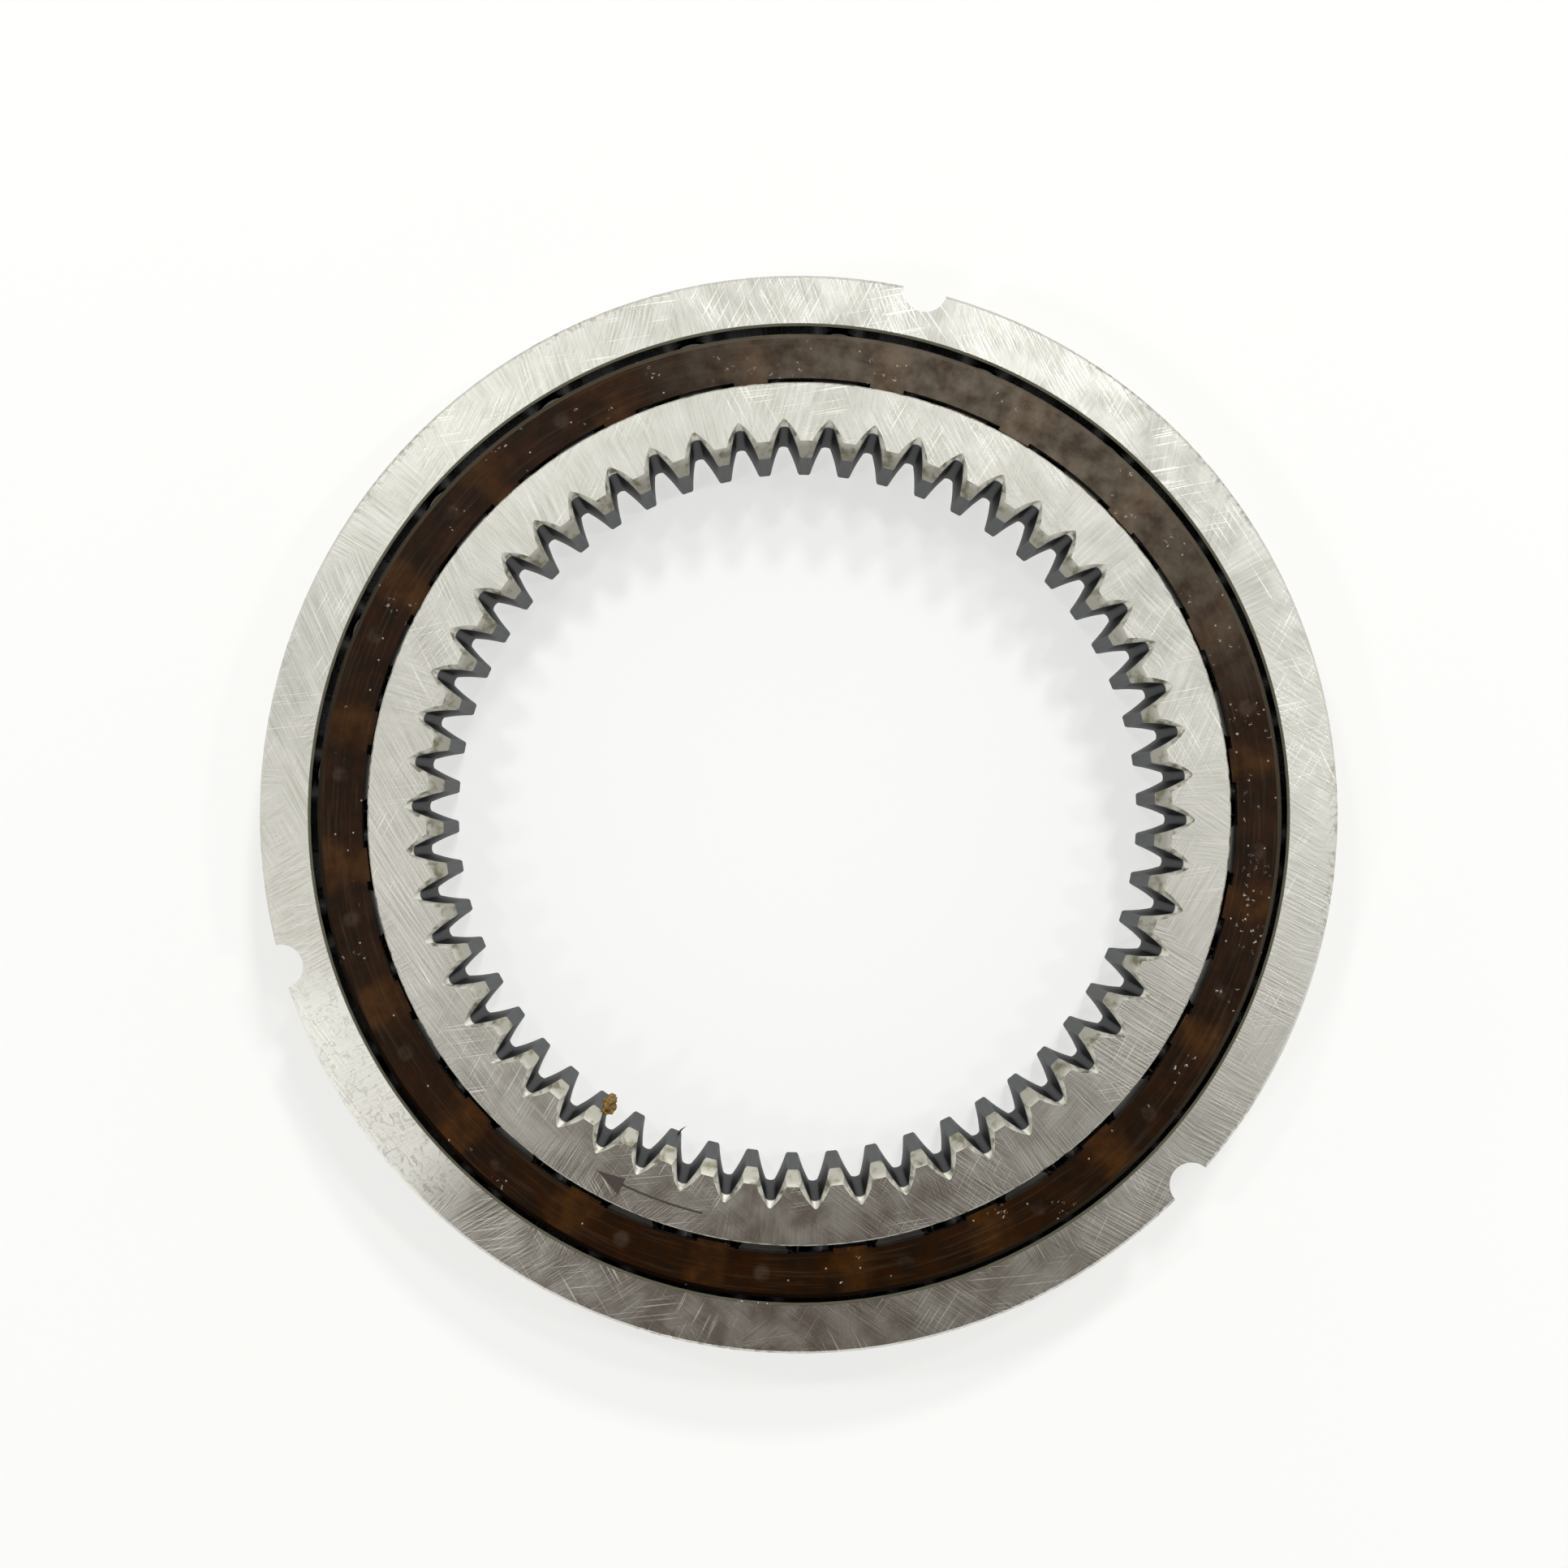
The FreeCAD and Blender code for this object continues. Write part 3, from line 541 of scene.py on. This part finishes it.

    # Drops of oil with painted glints, in loose groups, most of them on the side of the upper lamps. A noise
    # bends them out of round
    bend = add(tree, "TexNoise", {"Vector": place, "Scale": 1 / DROP_BEND_SIZE, "Detail": 2},
               noise_dimensions="2D").node.outputs["Color"]
    bent = add(tree, "VectorMath", {0: bend, 1: (DROP_BEND, DROP_BEND, 0), 2: place},
               operation="MULTIPLY_ADD")
    drops = add(tree, "TexVoronoi", {"Vector": bent, "Scale": 1 / DROP_SIZE}, voronoi_dimensions="2D").node
    glint = add(tree, "MapRange", {"Value": drops.outputs["Distance"], "From Min": 0.24, "From Max": 0.08})
    pick = add(tree, "SeparateColor", {0: drops.outputs["Color"]})
    pick = add(tree, "MapRange", {"Value": pick, "From Min": 0.8, "From Max": 1.0, "To Max": 0.8})
    group = add(tree, "TexNoise", {"Vector": place, "Scale": 1 / DROP_GROUP_SIZE, "Detail": 1},
                noise_dimensions="2D")
    group = add(tree, "Math", {0: sheen_side, 1: 0.1, 2: group}, operation="MULTIPLY_ADD")
    group = add(tree, "MapRange", {"Value": group, "From Min": 0.68, "From Max": 0.74})
    glint = add(tree, "Math", {0: glint, 1: pick}, operation="MULTIPLY")
    glint = add(tree, "Math", {0: glint, 1: group}, operation="MULTIPLY")
    tone = add(tree, "Mix", {"Factor": glint, "A": tone, "B": linear("d9d6cc")}, data_type="RGBA")

    # Dust: the middles of a few cells of a cell pattern
    cells = add(tree, "TexVoronoi", {"Vector": place, "Scale": 1 / DUST_SIZE}, voronoi_dimensions="2D").node
    speck = add(tree, "MapRange", {"Value": cells.outputs["Distance"], "From Min": 0.07, "From Max": 0.03})
    pick = add(tree, "SeparateColor", {0: cells.outputs["Color"]})
    pick = add(tree, "MapRange", {"Value": pick, "From Min": 0.9, "From Max": 0.92})
    dust = add(tree, "Math", {0: speck, 1: pick}, operation="MULTIPLY")
    tone = add(tree, "Mix", {"Factor": dust, "A": tone, "B": linear("a39a8a")}, data_type="RGBA")

    wavy = add(tree, "TexNoise", {"Vector": place, "Scale": 1 / WAVE_SIZE, "Detail": 4},
               noise_dimensions="2D")
    height = add(tree, "Math", {0: pin_mark, 1: -0.35, 2: wavy}, operation="MULTIPLY_ADD")
    height = add(tree, "Math", {0: dust, 1: height}, operation="ADD")
    bump = add(tree, "Bump", {"Strength": 0.5, "Distance": FILM_BUMP, "Height": height})
    film = add(tree, "MapRange", {"Value": smoke, "To Min": 0.3, "To Max": 0.18})
    shader = add(tree, "BsdfPrincipled", {"Base Color": tone, "Roughness": film, "IOR": 1.5,
                                          "Specular IOR Level": 0.09, "Normal": bump})
    add(tree, "OutputMaterial", {"Surface": shader})
    return material


dress(["roller_cage"], amber_nylon())

# %% [markdown]
# ## Rollers and springs
#
# They are hidden under the rims of the cage and show only through its windows when it is taken apart. The
# rollers are ground and polished, with faint rings, and the springs are bent from rolled strip, whose grain
# runs along it. Both lie in old oil, and both are painted far darker than clean steel, as painted shade that
# keeps the gaps of the part black.

# %% Rollers and springs
# Both tones are painted dark: partly old oil, partly painted shade for the gaps
roller_steel = grained("oily_shaded_roller_steel", (3, 3, 0.12), 2, ("4a4946", "6d6c69"), (0.2, 0.34))
spring_steel = grained("rolled_spring_steel", (2, 2, 0.1), 3, ("3c3a35", "5d5b55"), (0.3, 0.45))
dress([name for name in nodes if name.startswith("roller_") and name != "roller_cage"], roller_steel)
dress([name for name in nodes if name.startswith("spring_")], spring_steel)

# %% [markdown]
# ## The arrow
#
# A laser has burnt an arrow into the face of the gear, to show which way it runs free. The mark is a dark
# film, a hundredth of a millimetre thick. It could be painted in the material, but a thin mesh keeps its
# edge sharp at any distance. The shaft is an edge spun round the axis, and the head is one triangle.

# %% Arrow on the gear's face
SHAFT_START, SHAFT_END, TIP_CLOCK = 103.7, 115.6, 119.6
HEAD_OVERLAP = 0.1
SHAFT_RADIUS = 37.3 * MM
SHAFT_WIDTH = 0.2 * MM
HEAD_RADII = (36.7 * MM, 38.3 * MM)
MARK_THICKNESS = 0.01 * MM
# A small mesh is stored in the order in which its elements come along this direction
STORED_ALONG = Vector((1, 10, 100))


def finish_mesh(bm, name, material, body):
    """Makes an object of a bmesh, gives it its material, and lets it ride on a body."""
    bmesh.ops.recalc_face_normals(bm, faces=bm.faces)
    # Spinning and extruding leave the elements in another order on each run
    bm.verts.sort(key=lambda vert: vert.co.dot(STORED_ALONG))
    bm.edges.sort(key=lambda edge: (edge.verts[0].co + edge.verts[1].co).dot(STORED_ALONG))
    bm.faces.sort(key=lambda face: face.calc_center_median().dot(STORED_ALONG))
    mesh = bpy.data.meshes.new(name)
    bm.to_mesh(mesh)
    bm.free()
    mesh.materials.append(material)
    piece = bpy.data.objects.new(name, mesh)
    bpy.context.scene.collection.objects.link(piece)
    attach(piece, body)
    print(name, len(mesh.polygons), "faces")
    return piece


def make_arrow():
    bm = bmesh.new()
    half = SHAFT_WIDTH / 2
    ends = [bm.verts.new(on_face(SHAFT_START, SHAFT_RADIUS + side)) for side in (-half, half)]
    edge = bm.edges.new(ends)
    sweep = clock(SHAFT_END) - clock(SHAFT_START)
    bmesh.ops.spin(bm, geom=[edge, *ends], cent=(0, 0, 0), axis=(0, 0, 1), angle=sweep, steps=16)
    corners = [on_face(SHAFT_END - HEAD_OVERLAP, radius) for radius in HEAD_RADII]
    bm.faces.new([bm.verts.new(corner) for corner in (*corners, on_face(TIP_CLOCK, SHAFT_RADIUS - half))])
    top = bmesh.ops.extrude_face_region(bm, geom=bm.faces[:])["geom"]
    lifted = [item for item in top if isinstance(item, bmesh.types.BMVert)]
    bmesh.ops.translate(bm, verts=lifted, vec=(0, 0, MARK_THICKNESS))
    burnt = grained("laser_burnt_mark", (0.25, 0.25, 0.25), 3, ("332b27", "4c423c"), (0.6, 0.6), 0.3)
    arrow = finish_mesh(bm, "arrow_mark", burnt, "gear")


make_arrow()

# %% [markdown]
# ## Loose things on the steel
#
# A part that comes out of a machine is never quite clean. A crumb of dried grease sits on the tip of one
# tooth, a burr stands out from another like a hair, and the inner edge of the race has a row of tiny chips,
# knocked up when the roller cage went in. The crumb and the chips are small spheres, squeezed and then
# pushed in and out by a noise. The burr is a small circle spun along an arc and drawn to a point.

# %% Crumb of grease
CRUMB_CLOCK, CRUMB_RADIUS, CRUMB_HEIGHT = 123.0, 31.8 * MM, FACE_HEIGHT - 1.1 * MM
CRUMB_SIZE = Vector((0.54, 0.82, 0.5)) * MM
LUMP_SIZE = 0.3 * MM
# How far the surface goes in and out, and over what length
CRUMB_LUMPS = [(0.5 * MM, 0.5 * MM), (0.15 * MM, 0.15 * MM)]


def dried_grease():
    material, tree = new_material("dried_grease")
    place = add(tree, "TexCoord").node.outputs["Object"]
    lumps = add(tree, "TexNoise", {"Vector": place, "Scale": 1 / LUMP_SIZE, "Detail": 4})
    lumps = add(tree, "MapRange", {"Value": lumps, "From Min": 0.35, "From Max": 0.65})
    tone = add(tree, "Mix", {"Factor": lumps, "A": linear("4d3510"), "B": linear("9a7a3a")},
               data_type="RGBA")
    bump = add(tree, "Bump", {"Strength": 0.6, "Distance": LUMP_SIZE / 3, "Height": lumps})
    shader = add(tree, "BsdfPrincipled", {"Base Color": tone, "Roughness": 0.5, "Normal": bump})
    add(tree, "OutputMaterial", {"Surface": shader})
    return material


def roughen(bm, depth, length):
    """Pushes every vertex in or out along its normal by a smooth noise."""
    bm.normal_update()
    for vert in bm.verts:
        vert.co += vert.normal * depth * noise.noise(vert.co / length)


def make_crumb():
    bm = bmesh.new()
    bmesh.ops.create_icosphere(bm, subdivisions=4, radius=1)
    bmesh.ops.scale(bm, verts=bm.verts[:], vec=CRUMB_SIZE)
    for depth, length in CRUMB_LUMPS:
        roughen(bm, depth, length)
    bmesh.ops.translate(bm, verts=bm.verts[:], vec=on_face(CRUMB_CLOCK, CRUMB_RADIUS, CRUMB_HEIGHT))
    crumb = finish_mesh(bm, "grease_crumb", dried_grease(), "gear")
    crumb.data.shade_smooth()


make_crumb()

# %% Burr
BURR_CLOCK, BURR_RADIUS, BURR_HEIGHT = 110.5, 32.6 * MM, 3 * MM
BURR_LENGTH, BURR_BEND, BURR_WIDTH = 1.2 * MM, math.radians(50), 0.28 * MM
BURR_POINT = 0.05


def make_burr():
    bm = bmesh.new()
    # A disc that faces along Y, spun round an upright axis beside it
    upright = Matrix.Rotation(math.radians(90), 4, "X")
    bmesh.ops.create_circle(bm, cap_ends=True, segments=8, radius=BURR_WIDTH / 2, matrix=upright)
    bend_radius = BURR_LENGTH / BURR_BEND
    centre = Vector((bend_radius, 0, 0))
    bmesh.ops.spin(bm, geom=bm.faces[:] + bm.edges[:] + bm.verts[:], cent=centre, axis=(0, 0, 1),
                   angle=-BURR_BEND, steps=10)
    for vert in bm.verts:
        along = (vert.co - centre).angle(Vector((-1, 0, 0))) / BURR_BEND
        middle = centre + (vert.co - centre).normalized() * bend_radius
        middle.z = 0
        vert.co = middle + (vert.co - middle) * (1 + BURR_POINT - along)
    turn = Matrix.Rotation(clock(BURR_CLOCK) + math.pi / 2, 3, "Z")
    bmesh.ops.rotate(bm, verts=bm.verts[:], matrix=turn)
    bmesh.ops.translate(bm, verts=bm.verts[:], vec=on_face(BURR_CLOCK, BURR_RADIUS, BURR_HEIGHT))
    torn = grained("torn_steel_burr", (0.2, 0.2, 0.2), 2, ("2c2a27", "5a5751"), (0.4, 0.4))
    burr = finish_mesh(bm, "tooth_burr", torn, "gear")


make_burr()

# %% Chips on the edge of the race
CHIPS = 16
CHIP_CLOCKS = (93, 101)
CHIP_RADII = (BORE + 0.12 * MM, BORE + 0.3 * MM)
CHIP_DEPTH = 0.1 * MM
CHIP_LENGTHS, CHIP_WIDTHS, CHIP_THICKNESS = (0.05, 0.13), (0.05, 0.09), 0.08
CHIP_LUMPS = (0.04 * MM, 0.06 * MM)


def make_chips():
    dice = random.Random(4)
    bm = bmesh.new()
    for _ in range(CHIPS):
        spot = on_face(dice.uniform(*CHIP_CLOCKS), dice.uniform(*CHIP_RADII), FACE_HEIGHT - CHIP_DEPTH)
        size = [dice.uniform(*CHIP_LENGTHS) * MM, dice.uniform(*CHIP_WIDTHS) * MM, CHIP_THICKNESS * MM]
        turn = Matrix.Rotation(dice.uniform(0, math.tau), 4, "Z")
        bmesh.ops.create_icosphere(bm, subdivisions=2, radius=1,
                                   matrix=Matrix.Translation(spot) @ turn @ Matrix.Diagonal((*size, 1)))
    roughen(bm, *CHIP_LUMPS)
    bright = grained("bright_chip_steel", (0.1, 0.1, 0.1), 2, ("c9c5b8", "f2efe6"), (0.45, 0.45))
    chips = finish_mesh(bm, "edge_chips", bright, "race")


make_chips()

# %% [markdown]
# ## Floor, room and lamps
#
# The object lies on a white table under a pale ceiling, with five lamps round the camera. Steel shows what
# it mirrors: looking straight down, the face mirrors a circle of ceiling 11 to 14 degrees from upright, in
# the direction in which each spot of the face lies. So the room has to be right there: four bright patches,
# and a dark, warm one towards the bottom of the picture, where whoever leans over the table blocks the
# light. The low walls are bright, because the bevels of the teeth mirror them. The lamps stand further out
# than the patches, so that the face doesn't glare, and throw the scalloped shadows of the teeth.
#
# The table looks white in the photograph even in its shadows. So part of its light is its own, for the
# camera and for what mirrors it, and the rest is the light that falls on it, which keeps the shadows. Far
# from the part, where the lamps don't reach, all of it is its own.

# %% Floor
FLOOR_SIDE = 3.0
FLOOR_DROP = 0.02 * MM
OWN_LIGHT = 0.62
LIT_REACH = (0.15, 0.6)
TABLE_CLOUD_SIZE = 60 * MM


def white_table():
    material, tree = new_material("white_table")
    place = add(tree, "TexCoord").node.outputs["Object"]
    shade = add(tree, "TexNoise", {"Vector": place, "Scale": 1 / TABLE_CLOUD_SIZE, "Detail": 2})
    tone = add(tree, "Mix", {"Factor": shade, "A": linear("f6f6f4"), "B": linear("fbfbf9")},
               data_type="RGBA")
    lit = add(tree, "BsdfPrincipled", {"Base Color": tone, "Roughness": 0.9, "Specular IOR Level": 0.2})
    plain = add(tree, "Emission", {"Color": linear("fefefd"), "Strength": 1.0})
    rays = add(tree, "LightPath").node.outputs
    seen = add(tree, "Math", {0: rays["Is Camera Ray"], 1: rays["Is Glossy Ray"]}, operation="MAXIMUM")
    seen = add(tree, "Math", {0: seen, 1: rays["Is Transmission Ray"]}, operation="MAXIMUM")
    from_part = add(tree, "VectorMath", {0: place}, operation="LENGTH").node.outputs["Value"]
    own_light = add(tree, "MapRange", {"Value": from_part, "From Min": LIT_REACH[0],
                                       "From Max": LIT_REACH[1], "To Min": OWN_LIGHT},
                    interpolation_type="SMOOTHSTEP")
    share = add(tree, "Math", {0: seen, 1: own_light}, operation="MULTIPLY")
    surface = add(tree, "MixShader", {0: share, 1: lit, 2: plain})
    add(tree, "OutputMaterial", {"Surface": surface})
    return material


def make_floor():
    bm = bmesh.new()
    bmesh.ops.create_grid(bm, x_segments=2, y_segments=2, size=FLOOR_SIDE / 2)
    bmesh.ops.translate(bm, verts=bm.verts[:], vec=(0, 0, -FLOOR_DROP))
    mesh = bpy.data.meshes.new("table")
    bm.to_mesh(mesh)
    bm.free()
    mesh.materials.append(white_table())
    floor = bpy.data.objects.new("table", mesh)
    bpy.context.scene.collection.objects.link(floor)
    print("table:", FLOOR_SIDE, "m square")


make_floor()

# %% Room
# Each patch: clock direction, degrees from upright, degrees to its edge, colour, strength
PATCHES = [
    (146, 14, 10, "fefefa", 2.6),
    (234, 14, 8, "fefefa", 1.6),
    (6, 14, 9, "fefefa", 1.3),
    (297, 8, 4, "fefefa", 2.4),
    (95, 14, 19, "845012", 0.22),
]
PATCH_CORE = 1 / 4
LOW_WALLS, HIGH_WALLS, OVERHEAD = 1.3, 0.25, 0.62


def towards(degrees, from_upright):
    """The direction that leans from upright by an angle, towards a side of the photograph."""
    lean = math.radians(from_upright)
    return Vector((math.sin(lean) * math.cos(clock(degrees)), math.sin(lean) * math.sin(clock(degrees)),
                   math.cos(lean)))


def make_room():
    world = bpy.data.worlds.new("white_room")
    bpy.context.scene.world = world
    world.use_nodes = True
    tree = world.node_tree
    tree.nodes.clear()
    direction = add(tree, "TexCoord").node.outputs["Generated"]
    upwards = add(tree, "SeparateXYZ", {0: direction}).node.outputs["Z"]
    walls = add(tree, "MapRange", {"Value": upwards, "From Min": 0.1, "From Max": 0.6,
                                   "To Min": LOW_WALLS, "To Max": HIGH_WALLS},
                interpolation_type="SMOOTHSTEP")
    overhead = add(tree, "MapRange", {"Value": upwards, "From Min": math.cos(math.radians(34)),
                                      "From Max": math.cos(math.radians(20))},
                   interpolation_type="SMOOTHSTEP")
    level = add(tree, "Mix", {"Factor": overhead, "A": walls, "B": OVERHEAD})
    tone = add(tree, "VectorMath", {0: linear("fefdf8")[:3], "Scale": level}, operation="SCALE")
    for side, lean, reach, colour, strength in PATCHES:
        nearness = add(tree, "VectorMath", {0: direction, 1: towards(side, lean)},
                       operation="DOT_PRODUCT").node.outputs["Value"]
        patch = add(tree, "MapRange", {"Value": nearness, "From Min": math.cos(math.radians(reach)),
                                       "From Max": math.cos(math.radians(reach * PATCH_CORE))},
                    interpolation_type="SMOOTHSTEP")
        light = [strength * share for share in linear(colour)[:3]]
        tone = add(tree, "Mix", {"Factor": patch, "A": tone, "B": light}, data_type="VECTOR")
    light = add(tree, "Background", {"Color": tone, "Strength": 1.0})
    add(tree, "OutputWorld", {"Surface": light})
    print("room:", len(PATCHES), "patches overhead")


make_room()

# %% Lamps
# Each lamp: clock direction, degrees from upright, side in metres, power in watts
LAMPS = {
    "upper_lamp": (300, 28, 0.05, 0.85),
    "far_upper_lamp": (287, 41, 0.09, 2.4),
    "left_lamp": (229, 30, 0.06, 0.9),
    "right_lamp": (348, 32, 0.06, 0.8),
    "lower_left_lamp": (152, 33, 0.09, 0.8),
}
LAMP_DISTANCE = 0.9


def make_lamp(name, direction, side, power):
    lamp = bpy.data.lights.new(name, "AREA")
    lamp.shape = "SQUARE"
    lamp.size = side
    lamp.energy = power
    holder = bpy.data.objects.new(name, lamp)
    holder.location = direction * LAMP_DISTANCE
    holder.rotation_euler = direction.to_track_quat("Z", "Y").to_euler()
    bpy.context.scene.collection.objects.link(holder)


for name, (side, lean, size, power) in LAMPS.items():
    make_lamp(name, towards(side, lean), size, power)
print("lamps:", ", ".join(LAMPS))

# %% [markdown]
# ## Camera
#
# The part was photographed by hand from about 20 cm, nearly straight down: the walls of the teeth show the
# point that they lean away from, and that point is under the lens. The lens is set by the height, because
# the rim has to come out as wide as in the photograph.

# %% Camera
CAMERA_HEIGHT = 205 * MM
LENS_MM = 48.8
NADIR_RIGHT, NADIR_UP = -3.2 * MM, 0.24 * MM
LEAN_RIGHT, LEAN_UP = math.radians(0.52), math.radians(0.71)


def make_camera():
    lens = bpy.data.cameras.new("camera")
    lens.lens = LENS_MM
    camera = bpy.data.objects.new("camera", lens)
    spot = Vector((NADIR_RIGHT, NADIR_UP, CAMERA_HEIGHT))
    camera.location = Matrix.Rotation(PHOTO_TURN, 3, "Z") @ spot
    camera.rotation_euler = (LEAN_UP, -LEAN_RIGHT, PHOTO_TURN)
    bpy.context.scene.collection.objects.link(camera)
    bpy.context.scene.camera = camera
    print("camera at", [round(value / MM, 1) for value in camera.location], "mm")


make_camera()
bpy.context.scene.view_settings.view_transform = "Standard"
